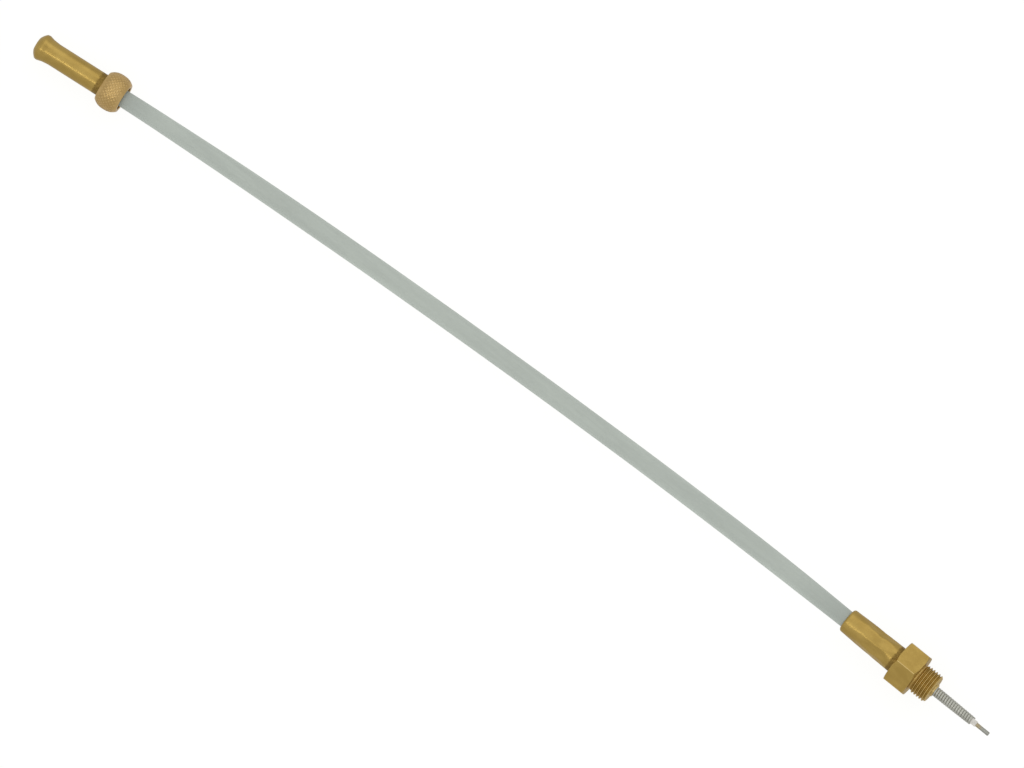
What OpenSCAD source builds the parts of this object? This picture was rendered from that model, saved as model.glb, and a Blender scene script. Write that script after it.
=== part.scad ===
// Flame sensor probe with its sheathed lead.
// The origin is on the probe axis, at the hex face that seats against the burner.
// +X runs along the probe axis towards the tip, and +Z is up.
// The lead leaves towards -X and ends in a sprung contact with a captive nut.

/* [Threaded union] */
// Width of the hex across its flats
hex_af = 14; // [12:0.5:17]
// Length of the hex
hex_len = 7.7; // [6:0.1:10]
// Turn of the hex about the probe axis, from a corner straight up
hex_clock = 9; // [0:1:29]
// Outer diameter of the male thread
thread_d = 10; // [9.8:0.1:10.4]
// Length of the male thread, its chamfer included
thread_len = 6.5; // [5:0.1:12]
// Chamfer at the end of the thread
thread_chamfer = 0.5; // [0.2:0.1:0.8]

/* [Probe] */
// How far the rod's tip stands out of the hex face
tip_reach = 28.2; // [26:0.1:60]
// Diameter of the electrode rod
rod_d = 1.3; // [1:0.1:1.4]
// How far the ceramic stands out of the hex face
ceramic_reach = 23.3; // [22.8:0.1:25]
// How far the wound sleeve stands out of the hex face
sleeve_reach = 22; // [20:0.1:22.2]
// Outer diameter of the wound sleeve at its root
sleeve_root_d = 3.3; // [3.2:0.05:3.35]
// Outer diameter of the wound sleeve at its end
sleeve_tip_d = 2.8; // [2.75:0.05:3.2]
// Turns of wire in the wound sleeve
sleeve_turns = 22; // [12:1:26]

/* [Probe ferrule] */
// Length of the crimped ferrule behind the hex
ferrule_len = 20.2; // [16:0.1:24]
// Outer diameter of the crimped ferrule at its mouth
ferrule_mouth_d = 8; // [7.8:0.1:8.6]
// Outer diameter of the crimped ferrule next to the hex
ferrule_root_d = 8.8; // [8.6:0.1:9.2]

/* [Lead] */
// Outer diameter of the sheath along its middle
sheath_d = 6.4; // [6:0.1:7]
// Outer diameter of the sheath where the probe ferrule grips it
sheath_probe_d = 5.7; // [5.4:0.1:5.75]
// Outer diameter of the sheath where the connector ferrule grips it
sheath_connector_d = 5.4; // [5.2:0.1:5.45]
// Outer diameter of the spiral liner
liner_d = 3.8; // [3.6:0.1:3.85]
// Outer diameter of the insulation round the conductor
insulation_d = 2.5; // [2.3:0.1:2.55]
// Diameter of the conductor
conductor_d = 1; // [0.8:0.1:1]

/* [Connector] */
// Length of the connector ferrule from its face to its inner end
connector_len = 27; // [26:0.5:32]
// Outer diameter of the connector ferrule
connector_d = 7.24; // [7:0.02:7.3]
// Outer diameter of the flared lip
lip_d = 8.6; // [8.5:0.05:8.7]
// Radius of the domed face of the lip
lip_dome_r = 5.4; // [5:0.1:7]
// Bore of the lip, for the contact
lip_bore_d = 4.4; // [4:0.1:4.6]
// How far the sprung contact sits behind the ferrule's face
plunger_recess = 0.3; // [0.1:0.1:0.5]

/* [Captive nut] */
// Outer diameter of the knurled nut
nut_d = 12.3; // [11.6:0.1:13]
// How much the nut's rounded barrel narrows to its faces, in radius
nut_rounding = 1.35; // [1.1:0.05:1.4]
// Length of the nut
nut_len = 7.7; // [7:0.1:8.4]
// Distance from the ferrule's face to the nut's front face, as stored
nut_place = 24.2; // [21:0.1:24.4]
// Minor diameter of the nut's thread
nut_thread_minor_d = 8.917; // [8.85:0.001:9.1]
// Thickness of the nut's rear wall
nut_wall = 1.4; // [1:0.1:1.8]
// Hole in the nut's rear wall
nut_hole_d = 7.7; // [7.6:0.05:7.8]
// Grooves in the nut's knurl
knurl_count = 30; // [20:1:40]

/* [Hidden] */
$fn = 64;

gap = 0.05;              // room between pieces that are assembled and don't move
through = 1;             // how far a cutting tool runs past a face

brass = [0.72, 0.56, 0.26];
tan_brass = [0.76, 0.58, 0.34];
steel = [0.62, 0.62, 0.60];
ceramic_white = [0.93, 0.91, 0.87];
sheath_grey = [0.67, 0.71, 0.68];
insulation_white = [0.90, 0.90, 0.86];
copper = [0.75, 0.43, 0.28];
graphite = [0.18, 0.18, 0.19];

// Stations along the probe axis, counted from the hex face
hex_back = -hex_len;
land_back = hex_back - 2.5;        // end of the land that the ferrule is pressed on
spigot_back = -27;                 // end of the spigot inside the sheath
ferrule_back = hex_back - ferrule_len;
seat_step = -1.8;                  // step that the seat ring sits on
flange_back = -1;                  // back face of the insulator's flange
flange_front = 1;                  // front face of the insulator's flange
bush_back = 2.6;                   // back face of the nose bush
bush_front = thread_len + 0.6;     // the bush stands a little out of the nose
splice_room_back = -7;             // back of the room that holds the splice

// Radii inside the union
land_r = 3.55;
spigot_r = 1.95;
spigot_bore_r = 1.55;
splice_room_r = 1.9;
gland_room_r = 2.9;
sheath_seat_r = sheath_probe_d / 2 + gap;
ceramic_r = 1.15;
ceramic_tip_r = 0.95;
sleeve_wire = 0.42;                // thickness of the sleeve's flat wire

// Route of the lead's middle line, from the probe ferrule's mouth to the connector.
// It bows sideways on a wide arc and sags onto what it lies on.
lead_route = [
    [-28, 0, 0], [-42, -0.05, -0.15], [-56, -0.15, -0.55], [-70, -0.35, -1.1],
    [-84, -0.65, -1.75], [-98, -1, -2.4], [-112, -1.45, -3.05], [-126, -2, -3.65],
    [-140, -2.6, -4.15], [-154, -3.3, -4.5], [-168, -4.1, -4.7], [-182, -4.95, -4.75],
    [-196, -5.9, -4.65], [-210, -6.9, -4.45], [-224, -8, -4.1], [-238, -9.2, -3.65],
    [-252, -10.45, -3.15], [-266, -11.8, -2.7], [-280, -13.25, -2.25],
    [-294, -14.75, -1.9], [-308, -16.35, -1.8]];
route_end = lead_route[len(lead_route) - 1];

// The connector's own frame: its X axis points back along the lead, from the lip
connector_turn = 6.7;
connector_way = [cos(connector_turn), sin(connector_turn), 0];
connector_origin = route_end - connector_len * connector_way;

// Stations along the connector, counted from its face
lip_back = 3;                      // end of the lip's thick part
insulator_front = 0.9;
insulator_back = 13;
head_len = 0.8;                    // head of the support sleeve
head_front = insulator_back + gap;
sheath_front = head_front + head_len + gap;
support_back = connector_len + 2;
liner_end = support_back + 0.2;
spring_room_front = 3.4;
spring_room_r = 1.3;
terminal_front = 8.5;
terminal_back = 14;
plunger_flange_front = spring_room_front + 0.1;
plunger_flange_len = 1.1;
connector_bore_r = sheath_connector_d / 2 + gap;

// A point on the connector's axis, in the part's frame
function on_connector(along) = connector_origin + along * connector_way;

// ---- Swept tubes of the lead ----

// Direction of a route at its point i
function heading(route, i) =
    let (ahead = route[min(i + 1, len(route) - 1)], behind = route[max(i - 1, 0)])
    (ahead - behind) / norm(ahead - behind);

// A ring of points round a route's point, square to its direction.
// up is any direction that the route never runs along.
function ring(centre, along, r, sides, up = [0, 0, 1]) =
    let (side = cross(up, along), across = side / norm(side), rise = cross(along, across))
    [for (k = [0 : sides - 1])
        centre + r * (cos(360 * (k + 0.5) / sides) * across + sin(360 * (k + 0.5) / sides) * rise)];

// Side faces between ring i and ring i + 1, where each ring starts at first + i * step
function wall_faces(rings, sides, step, first, inward) =
    [for (i = [0 : rings - 2], k = [0 : sides - 1])
        let (a = first + i * step, n = (k + 1) % sides,
             quad = [a + k, a + n, a + step + n, a + step + k])
        inward ? quad : [quad[3], quad[2], quad[1], quad[0]]];

// A solid cord along a route
module swept_cord(route, r, sides, up = [0, 0, 1]) {
    rings = len(route);
    points = [for (i = [0 : rings - 1]) each ring(route[i], heading(route, i), r, sides, up)];
    start_cap = [[for (k = [0 : sides - 1]) k]];
    end_cap = [[for (k = [sides - 1 : -1 : 0]) (rings - 1) * sides + k]];
    polyhedron(points, concat(wall_faces(rings, sides, sides, 0, false), start_cap, end_cap));
}

// A tube along a route, where outer holds its outer radius at each point
module swept_tube(route, outer, inner_r, sides) {
    rings = len(route);
    step = 2 * sides;
    last = (rings - 1) * step;
    points = [for (i = [0 : rings - 1])
        each concat(ring(route[i], heading(route, i), outer[i], sides),
                    ring(route[i], heading(route, i), inner_r, sides))];
    start_face = [for (k = [0 : sides - 1])
        let (n = (k + 1) % sides) [k, n, sides + n, sides + k]];
    end_face = [for (k = [0 : sides - 1])
        let (n = (k + 1) % sides) [last + n, last + k, last + sides + k, last + sides + n]];
    polyhedron(points, concat(wall_faces(rings, sides, step, 0, false),
                              wall_faces(rings, sides, step, sides, true),
                              start_face, end_face));
}

// Outer radius of the sheath at a point: it narrows towards both ferrules
function sheath_r(point) = lookup(point.x, [
    [route_end.x, sheath_connector_d / 2], [-290, sheath_connector_d / 2 + 0.12],
    [-262, sheath_d / 2 - 0.12], [-234, sheath_d / 2], [-64, sheath_d / 2],
    [-46, sheath_d / 2 - 0.1], [-28, sheath_probe_d / 2]]);

// ---- Turned shapes ----

// A turned solid about X, from [distance along X, radius] points
module turned(outline) {
    rotate([0, 90, 0]) rotate_extrude() polygon([for (p = outline) [p.y, p.x]]);
}

// A straight rod about X
module rod(from, to, r) {
    translate([from, 0, 0]) rotate([0, 90, 0]) cylinder(h = to - from, r = r);
}

// A straight tube about X
module tube(from, to, outer_r, inner_r) {
    turned([[from, inner_r], [from, outer_r], [to, outer_r], [to, inner_r]]);
}

// Puts a shape made in the connector's own frame where the connector is
module at_connector() {
    translate(connector_origin) rotate([0, 0, connector_turn]) children();
}

// ---- Probe end ----

module hex_prism() {
    corner_r = hex_af / 2 / cos(30);
    chamfer = 1;
    chamfer_len = 0.6;
    intersection() {
        translate([hex_back, 0, 0]) rotate([hex_clock, 0, 0]) rotate([0, 90, 0])
            cylinder(h = hex_len, r = corner_r, $fn = 6);
        turned([[hex_back, 0], [hex_back, corner_r - chamfer],
                [hex_back + chamfer_len, corner_r + gap], [-chamfer_len, corner_r + gap],
                [0, corner_r - chamfer], [0, 0]]);
    }
}

module hex_union() {
    thread_r = thread_d / 2;
    color(brass) difference() {
        union() {
            hex_prism();
            turned([[-0.5, 0], [-0.5, thread_r], [thread_len - thread_chamfer, thread_r],
                    [thread_len, thread_r - thread_chamfer], [thread_len, 0]]);
            rod(land_back, hex_back + 0.5, land_r);
            rod(spigot_back, land_back + 0.5, spigot_r);
        }
        rod(spigot_back - through, splice_room_back + through, spigot_bore_r);
        rod(splice_room_back, seat_step + through, splice_room_r);
        rod(seat_step, thread_len + through, gland_room_r);
    }
}

module probe_ferrule() {
    mouth_r = ferrule_mouth_d / 2;
    root_r = ferrule_root_d / 2;
    rounding = 0.9;
    flat_af = 8.1;
    color(brass) difference() {
        intersection() {
            turned([[ferrule_back, 0], [ferrule_back, mouth_r - rounding],
                    [ferrule_back + 0.3, mouth_r - 0.35], [ferrule_back + rounding, mouth_r],
                    [ferrule_back + 9, root_r - 0.12], [hex_back, root_r], [hex_back, 0]]);
            union() {
                rod(ferrule_back - through, ferrule_back + 3, root_r);
                translate([ferrule_back, 0, 0]) rotate([15, 0, 0]) rotate([0, 90, 0])
                    cylinder(h = ferrule_len, r = flat_af / 2 / cos(22.5), $fn = 8);
                rod(hex_back - 5, hex_back, root_r);
            }
        }
        rod(ferrule_back - through, land_back, sheath_seat_r);
        rod(land_back - gap, hex_back + through, land_r);
    }
}

module nose_bush() {
    sleeve_seat = 3;
    color(brass) turned([
        [bush_back, ceramic_r + gap], [bush_back, gland_room_r - 0.02],
        [thread_len, gland_room_r - 0.02], [thread_len, 2.2], [bush_front - 0.2, 2.2],
        [bush_front, 2], [bush_front, sleeve_root_d / 2 + gap],
        [sleeve_seat, sleeve_root_d / 2 + gap], [sleeve_seat, ceramic_r + gap]]);
}

// Close-wound flat wire, drawn as a ribbed tube that narrows to its end
module wound_sleeve() {
    root = 3 + gap;
    pitch = (sleeve_reach - root) / sleeve_turns;
    rib = 0.1;
    function outer(x) = lookup(x, [
        [root, sleeve_root_d / 2], [12, sleeve_root_d / 2 - 0.05],
        [20, sleeve_tip_d / 2 + 0.05], [sleeve_reach, sleeve_tip_d / 2]]);
    ribs = [for (i = [0 : sleeve_turns - 1]) each
        [[root + i * pitch, outer(root + i * pitch) - rib],
         [root + (i + 0.25) * pitch, outer(root + i * pitch)],
         [root + (i + 0.75) * pitch, outer(root + i * pitch)]]];
    color(steel) turned(concat(
        [[root, outer(root) - sleeve_wire]], ribs,
        [[sleeve_reach, outer(sleeve_reach) - rib], [sleeve_reach, outer(sleeve_reach) - sleeve_wire],
         [20, outer(20) - sleeve_wire], [12, outer(12) - sleeve_wire]]));
}

module ceramic_insulator() {
    flange_r = 2.6;
    neck_r = 1.5;
    bore_r = rod_d / 2 + gap;
    color(ceramic_white) turned([
        [seat_step - 0.3, bore_r], [seat_step - 0.3, neck_r], [flange_back, neck_r],
        [flange_back, flange_r], [flange_front, flange_r], [flange_front, ceramic_r],
        [12, ceramic_r], [19.5, ceramic_tip_r], [ceramic_reach - 0.15, ceramic_tip_r],
        [ceramic_reach, ceramic_tip_r - 0.15], [ceramic_reach, bore_r]]);
}

module electrode_rod() {
    r = rod_d / 2;
    color(steel) turned([[-5, 0], [-5, r], [tip_reach - 0.3, r], [tip_reach, r - 0.25],
                         [tip_reach, 0]]);
}

module seat_ring() {
    color(copper) tube(seat_step, flange_back, 2.8, 1.6);
}

module gland_packing() {
    color(graphite) tube(flange_front, bush_back, 2.8, ceramic_r + gap);
}

module splice_crimp() {
    back = -6.8;
    web_back = -5.8;
    web_front = -5.2;
    r = 1.05;
    color(tan_brass) difference() {
        rod(back, -2.4, r);
        rod(back - through, web_back, conductor_d / 2 + gap);
        rod(web_front, -2.4 + through, rod_d / 2 + 0.02);
    }
}

module splice_sleeve() {
    color(insulation_white) tube(-6.9, -2.2, 1.6, 1.1);
}

// ---- Lead ----

// The lead's middle line with its straight ends inside the ferrules
function lead_line(probe_x, connector_along) =
    concat([[probe_x, 0, 0]], lead_route, [on_connector(connector_along)]);

module outer_sheath() {
    route = lead_line(land_back - gap, sheath_front);
    outer = [for (p = route)
        p.x > lead_route[0].x ? sheath_probe_d / 2 :
        p.x < route_end.x ? sheath_connector_d / 2 : sheath_r(p)];
    color(sheath_grey) swept_tube(route, outer, 2.05, 12);
}

module spiral_liner() {
    inner = lead_route;
    route = concat([[spigot_back - 0.2, 0, 0]], [for (i = [1 : len(inner) - 2]) inner[i]],
                   [on_connector(liner_end)]);
    outer = [for (p = route) liner_d / 2];
    color(steel) swept_tube(route, outer, 1.45, 8);
}

module core_insulation() {
    route = lead_line(splice_room_back, terminal_back + 0.2);
    outer = [for (p = route) insulation_d / 2];
    color(insulation_white) swept_tube(route, outer, 0.62, 8);
}

module core_conductor() {
    color(copper) swept_cord(lead_line(-5.9, terminal_back - 3.8), conductor_d / 2, 8);
}

// ---- Connector end ----

// Half outline of the domed lip, from its bore to its widest point
function dome_outline(steps) =
    let (bore_angle = asin(lip_bore_d / 2 / lip_dome_r), rim_angle = asin((lip_d / 2 - 0.12) / lip_dome_r),
         apex = lip_dome_r * cos(bore_angle))
    [for (i = [0 : steps])
        let (angle = bore_angle + (rim_angle - bore_angle) * i / steps)
        [apex - lip_dome_r * cos(angle), lip_dome_r * sin(angle)]];

module connector_ferrule() {
    r = connector_d / 2;
    color(brass) at_connector() turned(concat(
        dome_outline(8),
        [[2.05, lip_d / 2 - 0.02], [2.35, lip_d / 2], [2.65, lip_d / 2 - 0.07],
         [3.2, r + 0.45], [3.85, r + 0.27], [5.15, r + 0.1], [6.35, r],
         [connector_len - 0.25, r], [connector_len, r - 0.25], [connector_len, connector_bore_r],
         [lip_back, connector_bore_r], [lip_back, lip_bore_d / 2]]));
}

module support_sleeve() {
    bore_r = insulation_d / 2 + gap;
    color(tan_brass) at_connector() turned([
        [head_front, bore_r], [head_front, connector_bore_r - gap],
        [head_front + head_len, connector_bore_r - gap], [head_front + head_len, 1.93],
        [support_back, 1.93], [support_back, bore_r]]);
}

module contact_insulator() {
    nose_hole_r = 0.86;
    color(insulation_white) at_connector() turned([
        [insulator_front, nose_hole_r], [insulator_front, lip_bore_d / 2 - gap],
        [lip_back + gap, lip_bore_d / 2 - gap], [lip_back + gap, connector_bore_r - gap],
        [insulator_back, connector_bore_r - gap], [insulator_back, spring_room_r],
        [spring_room_front, spring_room_r], [spring_room_front, nose_hole_r]]);
}

module contact_terminal() {
    disc_len = 0.8;
    barrel_r = 0.95;
    color(tan_brass) at_connector() difference() {
        turned([[terminal_front, 0], [terminal_front, spring_room_r - 0.02],
                [terminal_front + disc_len, spring_room_r - 0.02],
                [terminal_front + disc_len, barrel_r], [terminal_back, barrel_r],
                [terminal_back, 0]]);
        rod(terminal_back - 4, terminal_back + through, conductor_d / 2 + gap);
    }
}

module contact_spring() {
    wire_r = 0.11;
    coil_r = 0.9;
    turns = 5;
    sides = 6;
    steps = 14;
    from = plunger_flange_front + plunger_flange_len + wire_r + 0.02;
    to = terminal_front - wire_r - 0.02;
    line = [for (i = [0 : turns * steps])
        let (turn = 360 * i / steps)
        [from + (to - from) * i / (turns * steps), coil_r * cos(turn), coil_r * sin(turn)]];
    color(steel) at_connector() swept_cord(line, wire_r, sides, [1, 0, 0]);
}

module contact_plunger() {
    nose_r = 0.8;
    flange_back_x = plunger_flange_front + plunger_flange_len;
    color(tan_brass) at_connector() turned([
        [plunger_recess, 0], [plunger_recess, nose_r - 0.35], [plunger_recess + 0.1, nose_r - 0.15],
        [plunger_recess + 0.35, nose_r], [plunger_flange_front, nose_r],
        [plunger_flange_front, spring_room_r - 0.06], [flange_back_x, spring_room_r - 0.06],
        [flange_back_x, 0.55], [flange_back_x + 0.8, 0.55], [flange_back_x + 0.8, 0]]);
}

// ---- Captive nut ----

module slip_washer() {
    thick = 0.5;
    back = nut_place + nut_len - nut_wall - 0.1;
    color(steel) at_connector() tube(back - thick, back, 4.3, 3.9);
}

// The nut's solid barrel, widest at its middle
module nut_blank() {
    steps = 20;
    barrel = [for (i = [0 : steps])
        let (share = abs(2 * i / steps - 1))
        [nut_place + nut_len * i / steps, nut_d / 2 - nut_rounding * pow(share, 2.6)]];
    turned(concat([[nut_place, 0]], barrel, [[nut_place + nut_len, 0]]));
}

module knurled_nut() {
    groove_r = 0.32;
    lead_in = 0.25;
    rear = nut_place + nut_len - nut_wall;
    color(tan_brass) at_connector() difference() {
        nut_blank();
        rod(nut_place - through, rear, nut_thread_minor_d / 2);
        turned([[nut_place - through, 0], [nut_place - through, nut_thread_minor_d / 2 + lead_in + through],
                [nut_place + lead_in, nut_thread_minor_d / 2], [nut_place + lead_in, 0]]);
        rod(rear - through, nut_place + nut_len + through, nut_hole_d / 2);
        for (i = [0 : knurl_count - 1]) rotate([360 * i / knurl_count, 0, 0])
            translate([0, 0, nut_d / 2 + 0.12])
                rod(nut_place - through, nut_place + nut_len + through, groove_r, $fn = 16);
    }
}

hex_union();
probe_ferrule();
nose_bush();
wound_sleeve();
ceramic_insulator();
electrode_rod();
seat_ring();
gland_packing();
splice_crimp();
splice_sleeve();
outer_sheath();
spiral_liner();
core_insulation();
core_conductor();
connector_ferrule();
support_sleeve();
contact_insulator();
contact_terminal();
contact_spring();
contact_plunger();
slip_washer();
knurled_nut();
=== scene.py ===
import math

import bmesh
import bpy
from mathutils import Matrix, Vector, noise


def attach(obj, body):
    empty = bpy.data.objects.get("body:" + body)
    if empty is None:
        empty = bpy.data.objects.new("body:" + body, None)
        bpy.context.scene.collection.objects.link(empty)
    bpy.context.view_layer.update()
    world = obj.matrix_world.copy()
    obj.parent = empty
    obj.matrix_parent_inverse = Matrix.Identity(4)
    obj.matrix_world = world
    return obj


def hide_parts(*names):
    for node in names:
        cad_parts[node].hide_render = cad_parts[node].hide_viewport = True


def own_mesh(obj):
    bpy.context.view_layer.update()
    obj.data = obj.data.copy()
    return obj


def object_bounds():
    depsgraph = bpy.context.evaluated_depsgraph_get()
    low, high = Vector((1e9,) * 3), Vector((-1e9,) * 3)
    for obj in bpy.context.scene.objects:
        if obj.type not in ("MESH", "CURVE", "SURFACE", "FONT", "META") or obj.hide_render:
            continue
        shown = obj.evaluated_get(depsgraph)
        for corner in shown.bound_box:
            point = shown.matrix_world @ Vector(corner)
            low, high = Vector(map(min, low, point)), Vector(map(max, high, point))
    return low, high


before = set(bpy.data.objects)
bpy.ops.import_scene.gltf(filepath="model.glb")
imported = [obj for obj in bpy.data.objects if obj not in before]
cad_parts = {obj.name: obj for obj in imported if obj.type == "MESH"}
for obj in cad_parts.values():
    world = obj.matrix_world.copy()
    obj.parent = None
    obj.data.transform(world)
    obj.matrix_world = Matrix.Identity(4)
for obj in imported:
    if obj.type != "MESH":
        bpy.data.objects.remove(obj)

# Flame sensor probe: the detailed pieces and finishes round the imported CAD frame.
# Lengths are in millimetres until a piece is put in place, and in metres from there on.
cad_low, cad_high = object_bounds()
MM = 0.001
TAU = 2 * math.pi

# ---- Sizes from the CAD source ----

HEX_AF = 14.0
HEX_BACK = -7.7
HEX_CLOCK = 9.0
HEX_CHAMFER = 1.0
HEX_CHAMFER_SLOPE = 0.6 / 1.05
THREAD_R = 5.0
THREAD_PITCH = 1.0
THREAD_END = 6.5
ROD_R = 0.65
TIP_REACH = 28.2
LAND_BACK = -10.2
LAND_R = 3.55
SPIGOT_BACK = -27.0
SPIGOT_R = 1.95
SPIGOT_BORE_R = 1.55
SPLICE_ROOM_BACK = -7.0
SPLICE_ROOM_R = 1.9
SEAT_STEP = -1.8
GLAND_ROOM_R = 2.9
FERRULE_BACK = -27.9
SHEATH_PROBE_R = 2.85
SHEATH_R = 3.2
SHEATH_CONNECTOR_R = 2.7
SHEATH_INNER_R = 2.05
CONNECTOR_LEN = 27.0
CONNECTOR_R = 3.62
CONNECTOR_TURN = 6.7
LIP_R = 4.3
LIP_DOME_R = 5.4
LIP_BORE_R = 2.2
NUT_FRONT = 24.2
NUT_BACK = 31.9
NUT_R = 6.15
NUT_ROUNDING = 1.35
NUT_THREAD_MINOR_R = 4.4585
NUT_WALL = 1.4
NUT_HOLE_R = 3.85

# The lead's middle line from the probe ferrule's mouth to the connector, as in the CAD source
LEAD_ROUTE = [
    (-28, 0, 0), (-42, -0.05, -0.15), (-56, -0.15, -0.55), (-70, -0.35, -1.1),
    (-84, -0.65, -1.75), (-98, -1, -2.4), (-112, -1.45, -3.05), (-126, -2, -3.65),
    (-140, -2.6, -4.15), (-154, -3.3, -4.5), (-168, -4.1, -4.7), (-182, -4.95, -4.75),
    (-196, -5.9, -4.65), (-210, -6.9, -4.45), (-224, -8, -4.1), (-238, -9.2, -3.65),
    (-252, -10.45, -3.15), (-266, -11.8, -2.7), (-280, -13.25, -2.25),
    (-294, -14.75, -1.9), (-308, -16.35, -1.8),
]
SHEATH_PROBE_X = LAND_BACK - 0.05
SHEATH_CONNECTOR_W = 13.9

# Where a piece made about its own X axis goes: on the probe's axis, or on the connector's
connector_way = Vector((math.cos(math.radians(CONNECTOR_TURN)), math.sin(math.radians(CONNECTOR_TURN)), 0))
connector_origin = Vector(LEAD_ROUTE[-1]) - CONNECTOR_LEN * connector_way
PROBE = Matrix.Scale(MM, 4)
CONNECTOR = (Matrix.Translation(connector_origin * MM)
             @ Matrix.Rotation(math.radians(CONNECTOR_TURN), 4, "Z") @ Matrix.Scale(MM, 4))


# ---- Camera ----

VIEW_AZIMUTH = math.radians(39.6)
VIEW_ELEVATION = math.radians(79.0)
VIEW_DISTANCE = 6.0
VIEW_WIDTH = 0.3144
VIEW_TARGET = Vector((-0.1538, -0.0088, 0.0))


def make_camera():
    data = bpy.data.cameras.new("camera")
    data.sensor_width = 36.0
    data.lens = data.sensor_width * VIEW_DISTANCE / VIEW_WIDTH
    data.clip_start = 0.05
    data.clip_end = 20.0
    camera = bpy.data.objects.new("camera", data)
    bpy.context.scene.collection.objects.link(camera)
    back = Vector((math.sin(VIEW_AZIMUTH) * math.cos(VIEW_ELEVATION),
                   -math.cos(VIEW_AZIMUTH) * math.cos(VIEW_ELEVATION),
                   math.sin(VIEW_ELEVATION)))
    camera.location = VIEW_TARGET + back * VIEW_DISTANCE
    camera.rotation_mode = "QUATERNION"
    camera.rotation_quaternion = (-back).to_track_quat("-Z", "Y")
    bpy.context.scene.camera = camera


make_camera()


# ---- Mesh building ----

def smoothstep(low, high, x):
    t = min(max((x - low) / (high - low), 0.0), 1.0)
    return t * t * (3 - 2 * t)


def along(table, x):
    """The value at x of a line through (x, value) points."""
    if x <= table[0][0]:
        return table[0][1]
    for (x0, v0), (x1, v1) in zip(table, table[1:]):
        if x <= x1:
            return v0 + (v1 - v0) * (x - x0) / (x1 - x0)
    return table[-1][1]


def soft_min(a, b, width):
    """The smaller of two radii, with a rounded change from one to the other."""
    mix = min(max(0.5 + 0.5 * (b - a) / width, 0.0), 1.0)
    return b + (a - b) * mix - width * mix * (1 - mix)


def rounded(points, loop, steps=4):
    """An outline with its corners rounded. Each point is (x, r, corner radius).
    Every corner gives steps + 1 points, so that outlines of the same form match.
    A point's z is its wear: 1 in the middle of an outer corner, and 0 on the flat."""
    count = len(points)
    area = sum(points[i - 1][0] * points[i][1] - points[i][0] * points[i - 1][1] for i in range(count))
    made = []
    for i, (x, r, radius) in enumerate(points):
        here = Vector((x, r, 0))
        if not loop and i in (0, count - 1):
            made.append(here)
            continue
        before = Vector((*points[i - 1][:2], 0)) - here
        after = Vector((*points[(i + 1) % count][:2], 0)) - here
        if before.length < 1e-6 or after.length < 1e-6:
            made += [here.copy() for _ in range(steps + 1)]
            continue
        half = before.angle(after) / 2
        reach = min(radius / max(math.tan(half), 1e-3), 0.45 * before.length, 0.45 * after.length)
        start = here + before.normalized() * reach
        end = here + after.normalized() * reach
        outer = before.cross(after).z * area < 0
        for k in range(steps + 1):
            t = k / steps
            point = (1 - t) ** 2 * start + 2 * t * (1 - t) * here + t * t * end
            point.z = math.sin(math.pi * t) * math.cos(half) if outer and radius else 0.0
            made.append(point)
    return made


def add_patch(bm, rings, recess=None, wrap=True, loop=False):
    """Faces between rings of points. wrap closes each ring, and loop joins the last to the first.
    recess holds how deep in a groove each point lies, which the finishes darken with dirt and painted shade,
    or as a negative number how worn it is, which they lighten, and which on the nut's knurl also paints
    glints."""
    layer = bm.verts.layers.float.get("recess") or bm.verts.layers.float.new("recess")
    grid = []
    for i, ring in enumerate(rings):
        row = [bm.verts.new(p) for p in ring]
        if recess:
            for v, depth in zip(row, recess[i]):
                v[layer] = depth
        grid.append(row)
    columns = len(rings[0])
    pairs = [(i, i + 1) for i in range(len(rings) - 1)] + ([(len(rings) - 1, 0)] if loop else [])
    for i, j in pairs:
        for k in range(columns if wrap else columns - 1):
            n = (k + 1) % columns
            bm.faces.new((grid[i][k], grid[i][n], grid[j][n], grid[j][k]))
    return grid


def add_turned(bm, outline, angles, loop=False):
    """Turns an outline that rounded() made about the X axis."""
    add_patch(bm, [[on_axis(p.x, p.y, a) for a in angles] for p in outline],
              [[-p.z] * len(angles) for p in outline], loop=loop)


def make_piece(name, bm, place, sharp=32):
    """Closes the seams of a built shape, puts it in place, and returns its object."""
    bmesh.ops.remove_doubles(bm, verts=bm.verts, dist=2e-4)
    bmesh.ops.dissolve_degenerate(bm, edges=bm.edges, dist=1e-5)
    bmesh.ops.recalc_face_normals(bm, faces=bm.faces)
    mesh = bpy.data.meshes.new(name)
    bm.to_mesh(mesh)
    bm.free()
    mesh.transform(place)
    mesh.polygons.foreach_set("use_smooth", [True] * len(mesh.polygons))
    mesh.set_sharp_from_angle(angle=math.radians(sharp))
    piece = bpy.data.objects.new(name, mesh)
    bpy.context.scene.collection.objects.link(piece)
    shading = piece.modifiers.new("even_shading", "WEIGHTED_NORMAL")
    shading.keep_sharp = True
    return piece


def on_axis(x, r, angle):
    return (x, r * math.cos(angle), r * math.sin(angle))


def even_angles(count):
    return [TAU * k / count for k in range(count)]


def turned(name, outline, place, columns=96, steps=4):
    """A turned piece from an outline of (x, r, corner radius).
    The outline either starts and ends on the axis or closes on itself."""
    closed = outline[0][1] > 0
    bm = bmesh.new()
    add_turned(bm, rounded(outline, closed, steps), even_angles(columns), closed)
    return make_piece(name, bm, place)


# ---- The lead ----

def smooth_route(points, parts):
    """A smooth curve through the points, with that many parts between each two."""
    points = [Vector(p) for p in points]
    padded = [2 * points[0] - points[1]] + points + [2 * points[-1] - points[-2]]
    made = []
    for i in range(1, len(padded) - 2):
        a, b, c, d = padded[i - 1:i + 3]
        for k in range(parts):
            t = k / parts
            made.append(0.5 * (2 * b + (c - a) * t + (2 * a - 5 * b + 4 * c - d) * t * t
                               + (3 * b - a - 3 * c + d) * t ** 3))
    return made + [points[-1]]


def headings(line):
    made = []
    for i in range(len(line)):
        step = line[min(i + 1, len(line) - 1)] - line[max(i - 1, 0)]
        made.append(step.normalized())
    return made


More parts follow.
